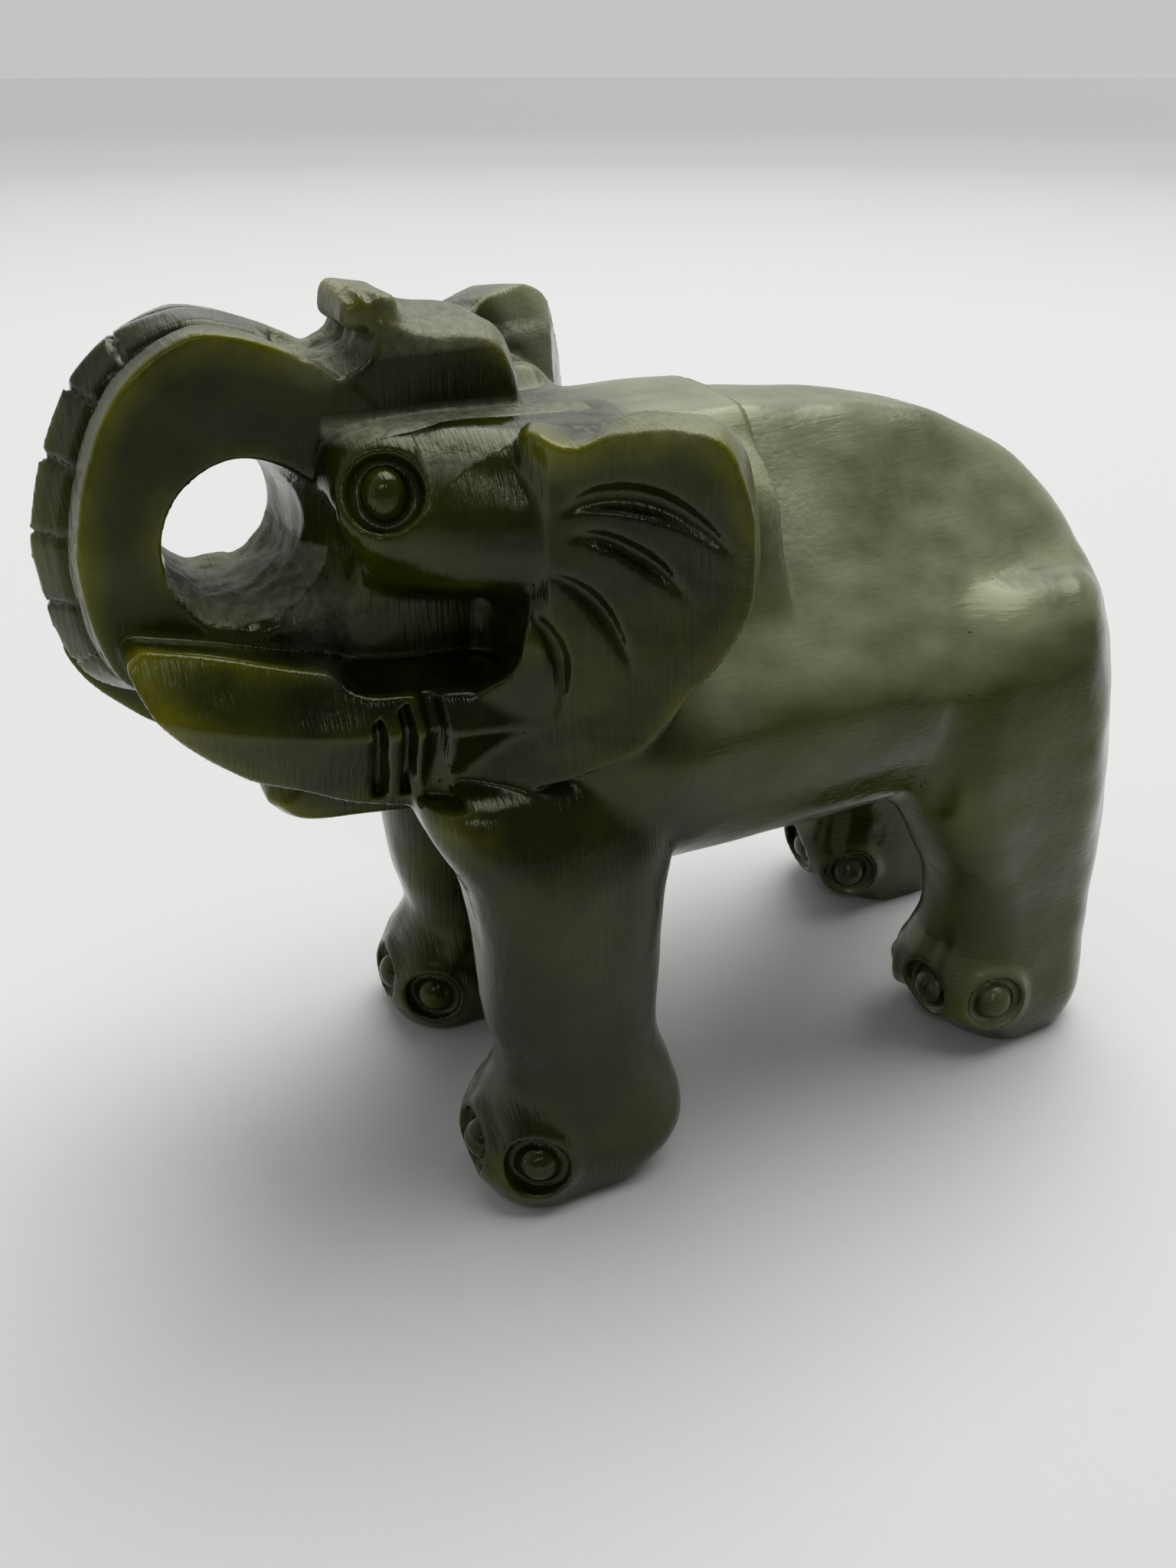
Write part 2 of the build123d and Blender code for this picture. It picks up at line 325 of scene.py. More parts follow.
def ball(centre, radii):
    centre, radii = np.array(centre, float), np.array(radii, float)

    def shape(x, y, z):
        px, py, pz = (x - centre[0]) / radii[0], (y - centre[1]) / radii[1], (z - centre[2]) / radii[2]
        return (np.sqrt(px**2 + py**2 + pz**2) - 1) * radii.min()

    return shape


def outline_depth(points, x, z, smooth):
    """Signed distance, in the plane of x and z, to a closed curve through the points."""
    ring = np.array(points, float)
    prev, following = np.roll(ring, 1, 0), np.roll(ring, -1, 0)
    after = np.roll(ring, -2, 0)
    t = np.linspace(0, 1, smooth, endpoint=False)[None, :, None]
    a, b, c, d = (v[:, None, :] for v in (prev, ring, following, after))
    curve = 0.5 * (2 * b + (c - a) * t + (2 * a - 5 * b + 4 * c - d) * t**2 + (3 * b - 3 * c + d - a) * t**3)
    curve = curve.reshape(-1, 2)
    inside = np.zeros(np.broadcast(x, z).shape, bool)
    best = np.full(inside.shape, 1e9)
    for (ax, az), (bx, bz) in zip(curve, np.roll(curve, -1, 0)):
        ex, ez = bx - ax, bz - az
        t = np.clip(((x - ax) * ex + (z - az) * ez) / (ex * ex + ez * ez + 1e-12), 0, 1)
        best = np.minimum(best, (x - ax - t * ex) ** 2 + (z - az - t * ez) ** 2)
        crosses = ((az > z) != (bz > z)) & (x < (bx - ax) * (z - az) / (bz - az + 1e-12) + ax)
        inside ^= crosses
    return np.where(inside, -1, 1) * np.sqrt(best)


def sawn_slab(points, half, bevel_from, bevel, edge, smooth):
    """A slab sawn to an outline, its rim bevelled off towards both sides."""

    def shape(x, y, z):
        rim = outline_depth(points, x, z, smooth) + np.maximum(np.abs(y) - bevel_from, 0) * bevel
        return trim(rim, np.abs(y) - half, edge)

    return shape


crown_low, crown_high = node_box("crown")
slab_half = crown_high[1]
crown_outline = [(27, 62), (20, 61), (12, 62), (12.0, 64.5), (12.5, 67.0), (13.6, 69.2), (15.6, 70.2)]
crown_outline += [(18.4, 70.6), (20.6, 71.2), (22.2, 71.8), (23.6, 71.2), (24.2, 69.2), (26.5, 67.5)]
crown_room = (crown_low - (3, 3, 4), crown_high + (4, 3, 3))
crown_bevel_from = 2.6
crown_bevel = 0.42
sawn_edge = 0.35
hollow_edge = 1.0
crown_slab = sawn_slab(crown_outline, slab_half, crown_bevel_from, crown_bevel, sawn_edge, 4)
add_mass("crown", crown_slab, *crown_room, sawn_edge)
for hollow in (ball((17.6, 1.2, 73.0), (4.0, 3.6, 3.2)), ball((18.6, 5.8, 71.3), (2.8, 2.0, 1.7))):
    cut_away(hollow, *crown_room, hollow_edge)

# ---------------------------------------------------------------- trunk
# The trunk is the same slab, curled up and back to the forehead round a hole drilled right
# through.  Two saw lines follow the curl and short cross cuts between them stand for wrinkles.
trunk_low, trunk_high = node_box("trunk")
curl_outline = [(28.3, 69.3), (31.4, 70.5), (34.6, 70.9), (38.2, 69.8), (41.3, 67.2), (43.7, 63.2)]
curl_outline += [(45.2, 58.6), (45.5, 54.6), (44.9, 50.6), (43.2, 47.4), (39.5, 45.6), (34, 45.2)]
curl_outline += [(28, 45.4), (24, 47), (22, 55), (22, 63), (25.6, 67.6)]
curl_growth = 0.35
curl_middle = 2.5  # half width of the steeper strip along the middle of the curl
right_fall = -0.45  # the right half falls away less than the left
outer_fall = 0.3
top_fall, front_fall = 0.2, 0.5
saw_edge = 0.12
curl_fillet = 0.5
curl_outlines = {}


def curl_surface(x, y, z):
    """Depth under the outer face of the curl, which is highest along its middle."""
    key = (x.shape, z.shape)
    if key not in curl_outlines:
        curl_outlines[key] = outline_depth(curl_outline, x, z, 6)
    off_middle = np.where(y > 0, y, right_fall * y)
    fall = np.minimum(off_middle, curl_middle) + outer_fall * np.maximum(off_middle - curl_middle, 0)
    return curl_outlines[key] - curl_growth + fall * (top_fall + front_fall * np.clip((x - 34) / 9, 0, 1))


def curl(x, y, z):
    return trim(curl_surface(x, y, z), np.abs(y) - slab_half, saw_edge)


trunk_room = (trunk_low - (6, 3, 3), trunk_high + 3)
add_mass("trunk", curl, *trunk_room, curl_fillet)

hole_centre = (33.3, 57.7)
hole_radius = 4.85
hole_edge = 0.35
flare_from = 2.6  # the hole was opened out towards its left mouth, backwards and down
flare = 0.34
flare_drift = 0.30
wander_from = 2  # and the drill wandered forwards on its way to the right
wander = 0.07
taper = 0.03
chance = np.random.default_rng(7)


def ripple(x, y, z, length, waves=7):
    """Gentle unevenness between about -1 and 1, with bumps about this long."""
    total = 0
    for _ in range(waves):
        way = chance.normal(size=3)
        way *= 2 * math.pi / length / np.linalg.norm(way) * chance.uniform(0.7, 1.3)
        total = total + np.sin(x * way[0] + y * way[1] + z * way[2] + chance.uniform(0, 6.28))
    return total / math.sqrt(waves)


def drilled_hole(x, y, z):
    opened = np.maximum(y - flare_from, 0)
    behind = np.maximum(wander_from - y, 0)
    along = x - hole_centre[0] + flare_drift * opened - wander * behind
    gap = np.hypot(along, z - hole_centre[1] + flare_drift * opened)
    gap = gap + taper * behind
    ragged = 0.17 * ripple(x, y, z, 3.0) + 0.08 * ripple(x, y, z, 1.3)
    low_wall = np.clip((hole_centre[1] - 1 - z) / 3, 0, 1)
    return gap - hole_radius - flare * opened + ragged * low_wall


cut_away(drilled_hole, *trunk_room, hole_edge)

saw_line_offsets = (2.5, -2.3)
saw_line_half = 0.36
saw_line_depth = 0.9
wrinkle_places = [(38.0, 68.7), (40.9, 66.4), (43.0, 62.6), (44.6, 58.2), (44.9, 53.6), (44.2, 49.2)]
wrinkle_half = 0.22
wrinkle_depth = 0.45
wrinkle_slant = 0.10
curl_centre = (33.5, 58.0)


def saw_lines(x, y, z):
    rim = curl_surface(x, y, z)
    tool = np.full(np.broadcast(x, y, z).shape, far)
    outer_face = np.maximum(29.5 - x, 46 - z)
    for offset in saw_line_offsets:
        opening = np.clip((rim + saw_line_depth) / saw_line_depth, 0.2, 1.4)
        wall = np.abs(y - offset) - saw_line_half * opening
        tool = np.minimum(tool, np.maximum(np.maximum(wall, -(rim + saw_line_depth)), outer_face))
    return tool


def wrinkles(x, y, z):
    rim = curl_surface(x, y, z)
    tool = np.full(np.broadcast(x, y, z).shape, far)
    for px, pz in wrinkle_places:
        out = np.array([px - curl_centre[0], pz - curl_centre[1]])
        out /= np.linalg.norm(out)
        slant = wrinkle_slant * chance.normal()
        along = (x - px) * -out[1] + (z - pz) * out[0] + slant * y
        near = (x - px) * out[0] + (z - pz) * out[1]
        wall = np.abs(along) - wrinkle_half
        reach = np.maximum(y - saw_line_offsets[0], -y - slab_half)
        across = np.maximum(wall, -(rim + wrinkle_depth))
        tool = np.minimum(tool, np.maximum(across, np.maximum(reach, -near - 3)))
    return tool


def fracture(x, y, z):
    """The break between the curl and the crown, which was never ground smooth."""
    hollow = ball((26.4, 1.5, 71.6), (3.4, 6.5, 3.6))(x, y, z)
    return hollow + 0.22 * ripple(x, y, z, 1.6) + 0.2 * ripple(x, y, z, 3.2)


fracture_edge = 0.3
cut_away(saw_lines, *trunk_room, saw_edge)
cut_away(wrinkles, *trunk_room, saw_edge)
cut_away(fracture, *crown_room, fracture_edge)

# ---------------------------------------------------------------- trunk tip
# The end of the trunk, a small tab of the same slab that was left lying on the crown.  Two nicks
# from the saw stand for the nostrils.
tip_low, tip_high = node_box("trunk_tip")
tip_room = (tip_low - 3, tip_high + 3)
tip_fillet = 0.5
nick_radius = 0.34
nick_edge = 0.15
add_mass("trunk_tip", brick((23.0, 1.6, 71.0), (1.9, 3.4, 1.25), 0.8, -10), *tip_room, tip_fillet)
for nick_x in (24.0, 22.8):
    cut_away(capsule((nick_x + 0.3, 1, 72.7), (nick_x + 0.2, 6, 71.8), nick_radius), *tip_room, nick_edge)

# ---------------------------------------------------------------- lower jaw
# A short wedge under the trunk, part of the same slab.  It was sawn off flat below, its edges were
# bevelled, and it was left standing between the tusks.
jaw_low, jaw_high = node_box("lower_jaw")
jaw_outline = [(33.6, 37.2), (33.0, 35.7), (31.6, 34.7), (28.6, 34.1), (22, 33.2)]
jaw_outline += [(9.5, 33), (9.5, 45), (24.5, 41.8), (30, 39.6)]
jaw_room = (jaw_low - 3, jaw_high + 4)
jaw_half = slab_half - 0.4
jaw_bevel_from = 3.4
jaw_bevel = 0.5
jaw_edge = 0.5
jaw_fillet = 0.8
jaw_slab = sawn_slab(jaw_outline, jaw_half, jaw_bevel_from, jaw_bevel, jaw_edge, 4)
add_mass("lower_jaw", jaw_slab, *jaw_room, jaw_fillet)

# ---------------------------------------------------------------- tusks
# Broad wings that sweep forward beside the trunk.  A ridge runs along each one, and saw cuts
# cross its root.
tusk_profile = [(41.3, 52.2), (42.0, 51.2), (40.9, 48.2), (39.0, 45.5), (37.0, 43.4), (35.0, 41.7)]
tusk_profile += [(31.8, 40.1), (27, 38.0), (20, 36.6), (10, 37.5), (10, 47.5), (21.5, 48.6)]
tusk_profile += [(29.2, 49.6), (34.5, 51.2), (38.6, 52.7), (40.2, 53.0)]
ridge_width = [(10, 15.4), (18, 14.8), (24, 14.0), (30, 13.1), (36, 12.3), (40, 11.4), (45, 10.0)]
ridge_height = [(10, 44.5), (24, 45.0), (30, 45.6), (36, 46.8), (40, 48.0), (45, 50.2)]
top_height = [(10, 48.2), (29, 49.8), (35, 51.4), (42, 53.2)]
upper_lean = 0.55
lower_lean = 0.50
right_tusk_reach = 2.9
right_tusk_drop = 3.2
tusk_dish = 0.15
tusk_root = slab_half - 1.5  # the tusk is let this far into the slab of the trunk
tusk_fillet = 0.35
wing_lean = 0.9  # the faces lean, so depths measured straight across them are this much too large
root_cuts = [(26.9, 0.27, 0.9), (24.9, 0.27, 1.0), (23.0, 0.50, 0.8)]  # place, half width, depth
root_cut_slant = 0.06
root_cut_foot = 38.8
root_cut_edge = 0.15


def tusk_shape(side, reach, drop):
    def shape(x, y, z):
        z = z + drop * np.clip((x - 18) / 27, 0, 1)
        pulled = x - reach * np.clip((x - 14) / 28, 0, 1.2)
        profile = outline_depth(tusk_profile, pulled, z, 5)
        width, ridge = course(pulled, ridge_width), course(pulled, ridge_height)
        upper = side * y - width + upper_lean * (z - ridge)
        lower = (side * y - width - lower_lean * (z - ridge)) / math.hypot(1, lower_lean)
        depth = trim(trim(upper, lower, 0.25), profile, 0.35)
        inner = tusk_root - side * y
        dish = z - (course(pulled, top_height) - tusk_dish * (width - side * y))
        return trim(trim(depth, inner, 0.2), dish, 0.3) * wing_lean

    return shape


for side, hand, reach, drop in ((1, "left", 0, 0), (-1, "right", right_tusk_reach, right_tusk_drop)):
    node = f"{hand}_tusk"
    low, high = node_box(node)
    room = (low - (3, 4, 4), high + 4)
    add_mass(node, tusk_shape(side, reach, drop), *room, tusk_fillet)
    for place, half, depth in root_cuts:

        def root_cut(x, y, z, place=place, half=half, depth=depth):
            above = z - course(x, ridge_height)
            surface = side * y - course(x, ridge_width) + np.where(above > 0, upper_lean, -lower_lean) * above
            opening = np.clip(1 + (surface + depth) / depth, 0.3, 2)
            slot = np.abs(x - place - root_cut_slant * (z - 43)) - half * opening
            ends = np.maximum(root_cut_foot - z, z - 47.0 + 0.4 * (x - 25))
            return np.maximum(np.maximum(slot, -(surface + depth + 0.3)), ends)

        cut_away(root_cut, *room, root_cut_edge)

# ---------------------------------------------------------------- mouth
# A deep hollow between the cheek and the tusk, on both sides.  It was ground into the stone with a
# small round burr, in two strokes that run into each other.
mouth_room = ((10, -16, 44), (34, 16, 58))
mouth_edge = 0.7
cut_away(two_sided(capsule((19.3, 12.4, 50.6), (26, 10.6, 50.9), 3.3, 3.5)), *mouth_room, mouth_edge)
cut_away(two_sided(capsule((25, 10.4, 50.9), (29.5, 9.4, 52.6), 3.3, 1.8)), *mouth_room, mouth_edge)

# ---------------------------------------------------------------- ears
# Flat shields that lean out from the neck with a free, chipped rim.  Four lens-shaped cuts from
# the edge of a wheel stand for the veins of each.
ear_plane_point = np.array([4.0, 22.8])
ear_lean = math.radians(30)
ear_forward = np.array([math.cos(ear_lean), -math.sin(ear_lean)])
ear_inward = np.array([-math.sin(ear_lean), -math.cos(ear_lean)])
ear_outline = [(15.3, 64.3), (11.6, 64.3), (9.2, 65.2), (5.4, 65.5), (2.4, 64.5), (0.9, 61.4), (0.1, 57)]
ear_outline += [(0.3, 54), (1.4, 51.4), (4.4, 46.8), (6.6, 43.6), (10.1, 41.6), (14.1, 39.9)]
ear_outline += [(18.3, 38.8), (22.7, 37.4), (24, 42), (19, 46.6), (15.6, 50), (15.2, 57)]
right_ear_rise = 2.3  # the right ear was left taller, thicker and a little further back
right_ear_back = 2.0
rim_thickness = 3.4
right_rim_thickness = 4.8
rim_taper = 0.12
back_taper = 1.5
ear_thickness = 12.0
ear_dish = 0.5
chipping = 0.07
ear_fillet = 0.4
vein_edge = 0.12
vein_steps = 10
veins = [  # three points on the face, then half width and depth
    ((13.6, 59.4), (7.6, 60.9), (1.1, 57.0), 1.1, 1.4),
    ((13.0, 58.2), (8.4, 57.6), (3.2, 53.0), 0.78, 1.2),
    ((14.2, 56.1), (10.2, 53.3), (7.5, 47.2), 0.74, 1.2),
    ((16.4, 53.7), (12.9, 49.9), (14.0, 43.5), 0.74, 1.2),
]


def ear_place(x, y):
    """Distance forwards along the shield and inwards behind its face."""
    dx, dy = x - ear_plane_point[0], y - ear_plane_point[1]
    return dx * ear_forward[0] + dy * ear_forward[1], dx * ear_inward[0] + dy * ear_inward[1]


def ear_shape(side, rise, thickness):
    def shape(x, y, z):
        u, w = ear_place(x + (right_ear_back if side < 0 else 0), side * y)
        lifted = z - rise * np.clip((z - 56) / 8, 0, 1.2)
        rim = outline_depth(ear_outline, u, lifted, 5)
        rim = rim + chipping * ripple(x, y, z, 4.5)
        dished = ear_dish * np.clip(-rim / 4, 0, 1)
        dished = dished + 0.8 * np.clip(u - 13.4, 0, 3) * np.clip((z - 51) / 3, 0, 1)
        tapered = rim - rim_taper * np.minimum(w, thickness) + np.maximum(w - thickness, 0) * back_taper
        return trim(trim(tapered, dished - w, 0.25), w - ear_thickness, 1.0)

    return shape


def vein_cut(side, vein):
    a, b, c = (np.array(p) for p in vein[:3])
    half, depth = vein[3:]

    def shape(x, y, z):
        u, w = ear_place(x + (right_ear_back if side < 0 else 0), side * y)
        tool = np.full(np.broadcast(u, z).shape, far)
        bow = 2 * b - (a + c) / 2
        for k in range(vein_steps):
            t0, t1 = k / vein_steps, (k + 1) / vein_steps
            p, q = ((1 - t) ** 2 * a + 2 * t * (1 - t) * bow + t**2 * c for t in (t0, t1))
            run = q - p
            s = np.clip(((u - p[0]) * run[0] + (z - p[1]) * run[1]) / (run @ run), 0, 1)
            gap = np.hypot(u - p[0] - s * run[0], z - p[1] - s * run[1])
            swell = np.sin(math.pi * np.clip(t0 + s / vein_steps, 0.02, 0.98)) ** 0.8
            here = np.hypot(gap, np.maximum(w, 0) * half / depth) - half * swell
            tool = np.minimum(tool, here)
        return tool

    return shape


ears = ((1, "left", 0, rim_thickness), (-1, "right", right_ear_rise, right_rim_thickness))
for side, hand, rise, thickness in ears:
    node = f"{hand}_ear"
    low, high = node_box(node)
    room = (low - (4, 4, 4), high + (5, 3, 4))
    add_mass(node, ear_shape(side, rise, thickness), *room, ear_fillet)
    for vein in veins:
        cut_away(vein_cut(side, vein), *room, vein_edge)

# ---------------------------------------------------------------- eyes
# A hollow drill turned a ring into the stone round each eye, in a low swelling of the cheek.  The
# core that it left was polished to a bead.
eye_centre = np.array([24.6, 10.2, 60.9])
eye_axis = np.array([0.34, 0.84, 0.42])
eye_axis /= np.linalg.norm(eye_axis)
bead_radii = (1.5, 1.6, 1.8)
bead_sunk = 0.85  # middle of a core below the mouth of its ring


def disc(centre, axis, radius, half, corner):
    """Short round bar with rounded edges."""

    def shape(x, y, z):
        px, py, pz = x - centre[0], y - centre[1], z - centre[2]
        along = px * axis[0] + py * axis[1] + pz * axis[2]
        out = np.sqrt(np.maximum(px * px + py * py + pz * pz - along * along, 0)) - radius + corner
        over = np.abs(along) - half + corner
        outside = np.hypot(np.maximum(out, 0), np.maximum(over, 0))
        return outside + np.minimum(np.maximum(out, over), 0) - corner

    return shape


def mirrored(v, side):
    return np.array([v[0], side * v[1], v[2]])


for side, hand in ((1, "left"), (-1, "right")):
    centre, axis = mirrored(eye_centre, side), mirrored(eye_axis, side)
    low, high = node_box(f"{hand}_eye")
    room = (low - 3, high + 3)
    add_mass("head", disc(centre - 1.5 * axis, axis, 3.2, 1.1, 0.9), *room, 2.4)
    cut_away(disc(centre + 1.0 * axis, axis, 2.5, 1.9, 0.5), *room, 0.4)
    add_mass(f"{hand}_eye", ball(centre - bead_sunk * axis, bead_radii), *room, 0.15, claim=True)

# ---------------------------------------------------------------- toenails
# Three nails on each foot, made like the eyes.  Each toe swells a little, and the hollow drill cut
# a ring into it round a core that was ground to a dome.
front_nails = [  # place on the foot and the way it faces: outer, front and inner nail
    ((18.4, 18.0, 5.4), (0.55, 0.83, 0.05)),
    ((21.8, 12.6, 4.9), (1, 0, 0.05)),
    ((18.9, 7.2, 4.8), (0.6, -0.8, 0)),
]
hind_nails = [
    ((-29.0, 18.7, 6.6), (0.3, 0.95, 0.1)),
    ((-25.4, 13.4, 6.0), (1, 0.1, 0.05)),
    ((-27.2, 7.0, 5.4), (0.55, -0.83, 0)),
]
toe_radius = 3.3
nail_ring = 2.75
nail_core = 1.9
for end, nails in (("front", front_nails), ("hind", hind_nails)):
    for side, hand in ((1, "left"), (-1, "right")):
        node = f"{end}_{hand}_toenails"
        low, high = node_box(node)
        room = (low - 3, high + 3)
        back = stride if node.startswith("hind_right") else 0
        for place, facing in nails:
            axis = mirrored(facing, side) / np.linalg.norm(facing)
            centre = mirrored(place, side) - (back, 0, 0)
            toe = disc(centre - 1.0 * axis, axis, toe_radius, 1.2, 0.9)
            add_mass(f"{end}_{hand}_leg", toe, *room, 1.2)
            cut_away(disc(centre + 1.2 * axis, axis, nail_ring, 1.75, 0.5), *room, 0.3)
            core = ball(centre - bead_sunk * axis, (nail_core, nail_core, nail_core))
            add_mass(node, core, *room, 0.2, claim=True)

# ---------------------------------------------------------------- tail
# A thin tail, left in low relief when the rump was ground.  It lies down the middle of the rump
# and ends in a small tuft.
tail_low, tail_high = node_box("tail")
tail_room = (tail_low - 3, tail_high + 3)
tail_fillet = 0.4
tail_line = [(-42.2, 48.2), (-44.5, 45.0), (-44.8, 41.0), (-44.2, 37.2), (-43.2, 34.2)]
tail_radius = [0.6, 0.8, 0.8, 0.8, 1.3]
for k in range(len(tail_line) - 1):
    (ax, az), (bx, bz) = tail_line[k], tail_line[k + 1]
    hair = capsule((ax, 0, az), (bx, 0, bz), tail_radius[k], tail_radius[k + 1])
    add_mass("tail", hair, *tail_room, tail_fillet)

# ---------------------------------------------------------------- parting the stone
# The masses are cut apart along the planes where they meet, so that each is a closed piece of its
# own and its neighbours' surfaces run on from it without a step.
x, y, z = lines[0][:, None, None], lines[1][None, :, None], lines[2][None, None, :]
hand_waver = 0.07
fine_waver = 0.03
stone += (hand_waver * ripple(x, y, z, 9.0) + fine_waver * ripple(x, y, z, 4.0)).astype(np.float32)
stone = np.maximum(stone, -z)
owner[stone >= 0] = 0
corner_steps = [(i, j, k) for i in (0, 1) for j in (0, 1) for k in (0, 1)]
cell_edges = []
for a in range(8):
    for b in range(a + 1, 8):
        if sum(abs(p - q) for p, q in zip(corner_steps[a], corner_steps[b])) == 1:
            cell_edges.append((a, b))
span = tuple(n - 1 for n in count)


def corner_of(values, i, j, k):
    return values[i : i + span[0], j : j + span[1], k : k + span[2]]


mixed = np.zeros(span, bool)
first = corner_of(owner, 0, 0, 0)
for corner in corner_steps[1:]:
    mixed |= corner_of(owner, *corner) != first
cells = np.argwhere(mixed)
cell_number = np.full(span, -1, np.int32)
cell_number[mixed] = np.arange(len(cells))
depths = np.stack([stone[tuple((cells + c).T)] for c in corner_steps], 1)
owners = np.stack([owner[tuple((cells + c).T)] for c in corner_steps], 1)
skin_sum, skin_count = np.zeros((len(cells), 3)), np.zeros(len(cells))
seam_sum, seam_count = np.zeros((len(cells), 3)), np.zeros(len(cells))
for a, b in cell_edges:
    pa, pb = np.array(corner_steps[a], float), np.array(corner_steps[b], float)
    on_skin = (owners[:, a] == 0) != (owners[:, b] == 0)
    on_seam = (owners[:, a] != owners[:, b]) & ~on_skin
    t = np.where(on_skin, depths[:, a] / np.where(on_skin, depths[:, a] - depths[:, b], 1), 0.5)
    place = pa + t[:, None] * (pb - pa)
    skin_sum += place * on_skin[:, None]
    skin_count += on_skin
    seam_sum += place * on_seam[:, None]
    seam_count += on_seam
on_skin = skin_count > 0
skin_place = skin_sum / np.maximum(skin_count, 1)[:, None]
seam_place = seam_sum / np.maximum(seam_count, 1)[:, None]
points = cells + np.where(on_skin[:, None], skin_place, seam_place)


def sample(values, at):
    """Value between the samples of the block."""
    base = np.clip(np.floor(at).astype(int), 0, np.array(values.shape) - 2)
    t = at - base
    total = 0
    for i, j, k in corner_steps:
        weight = np.abs(1 - i - t[:, 0]) * np.abs(1 - j - t[:, 1]) * np.abs(1 - k - t[:, 2])
        total = total + weight * values[base[:, 0] + i, base[:, 1] + j, base[:, 2] + k]
    return total


def slope_at(at, reach):
    shifts = np.eye(3) * reach
    return np.stack([sample(stone, at + s) - sample(stone, at - s) for s in shifts], 1) / (2 * reach)


for _ in range(2):
    slope = slope_at(points[on_skin], 0.6)
    steepness = np.maximum((slope**2).sum(1), 1e-4)
    move = slope * (sample(stone, points[on_skin]) / steepness)[:, None]
    points[on_skin] -= np.clip(move, -0.5, 0.5)
normals = slope_at(points, 0.8)
normals /= np.maximum(np.linalg.norm(normals, axis=1), 1e-6)[:, None]


def filled_share(radius):
    """Share of the stone in a cube round each sample: under a half at edges, over it in hollows."""
    width = max(1, int(radius / step))
    share = (stone < 0).astype(np.float32)
    for axis in range(3):
        pad = [(0, 0)] * 3
        pad[axis] = (width + 1, width)
        total = np.cumsum(np.pad(share, pad, mode="edge"), axis=axis, dtype=np.float32)
        n = share.shape[axis]
        upper = [slice(None)] * 3
        lower = [slice(None)] * 3
        upper[axis] = slice(2 * width + 1, 2 * width + 1 + n)
        lower[axis] = slice(0, n)
        share = (total[tuple(upper)] - total[tuple(lower)]) / (2 * width + 1)
    return share


edge_share = sample(filled_share(0.9), points)
thin_share = sample(filled_share(3.2), points)
places = block_low + points * step

# Painted glow: light is painted as if it came through the thin parts, but is held back on the dark feet and
# in the sockets of the eyes.
foot_height = 12
foot_glow_cut = 0.06
socket_reach = 3.5
socket_glow_cut = 0.12
from_eye = np.linalg.norm(places * (1, 0, 1) + (0, 1, 0) * np.abs(places) - eye_centre, axis=1)
socket_share = np.clip(2 - from_eye / socket_reach, 0, 1)
thin_share += np.maximum(foot_glow_cut * (places[:, 2] < foot_height), socket_glow_cut * socket_share)


def near(distance, reach, core):
    """1 within the core, and down to 0 over one reach outside it."""
    return 1 - np.clip(distance / reach - core, 0, 1)


def rough_zone(p):
    """Where the stone was left off the polishing wheel, from 0 to 1."""
    px, py, pz = p[:, 0], np.abs(p[:, 1]), p[:, 2]
    from_break = np.sqrt((px - 26.4) ** 2 + (p[:, 1] / 1.8) ** 2 + (pz - 69.4) ** 2)
    from_shoulder = np.sqrt(((px + 6) / 5) ** 2 + ((py - 12) / 6) ** 2 + ((pz - 58) / 6) ** 2)
    in_hole = np.hypot(px - hole_centre[0], pz - hole_centre[1]) < 6.3
    zones = dict(
        brow=near(np.abs(pz - 64.2), 0.9, 0) * ((px > 9) & (px < 27) & (py > 5.4) & (py < 8.5)),
        fracture=near(from_break, 2.6, 0.7),
        hole=0.9 * in_hole * (pz < 56) * (py < 5.4),
        crown_pits=0.7 * near(np.hypot(px - 17.6, p[:, 1] - 2.0), 4.5, 0.6) * (pz > 68.2),
        cheek_top=0.6 * near(np.abs(pz - 62.8), 1.6, 0) * ((px > 6) & (px < 22) & (py > 6.5) & (py < 12)),
        ear_top=0.7 * near(np.abs(pz - 65.6), 0.9, 0) * ((px > -2) & (px < 17) & (py > 10)),
        shoulder=0.8 * near(from_shoulder, 1, 0.3),
        below_hole=0.5 * near(np.hypot(px - 28.6, pz - 51.8), 2.6, 0.3) * (py > 4),
    )
    return np.clip(np.maximum.reduce(list(zones.values())), 0, 1)


unpolished_share = rough_zone(places)

faces, front_owner, back_owner = [], [], []
for axis in range(3):
    other = [i for i in range(3) if i != axis]
    low_side = [slice(1, -1)] * 3
    low_side[axis] = slice(0, count[axis] - 1)
    high_side = list(low_side)
    high_side[axis] = slice(1, count[axis])
    a, b = owner[tuple(low_side)], owner[tuple(high_side)]
    hits = np.argwhere(a != b)
    start = hits.copy()
    for i in other:
        start[:, i] += 1
    quad = []
    for du, dv in ((0, 0), (1, 0), (1, 1), (0, 1)):
        cell = start.copy()
        cell[:, other[0]] -= du
        cell[:, other[1]] -= dv
        quad.append(cell_number[tuple(cell.T)])
    quad = np.stack(quad, 1)
    if axis == 1:
        quad = quad[:, ::-1]
    faces.append(quad)
    front_owner.append(a[tuple(hits.T)])
    back_owner.append(b[tuple(hits.T)])
faces, front_owner, back_owner = (np.concatenate(v) for v in (faces, front_owner, back_owner))
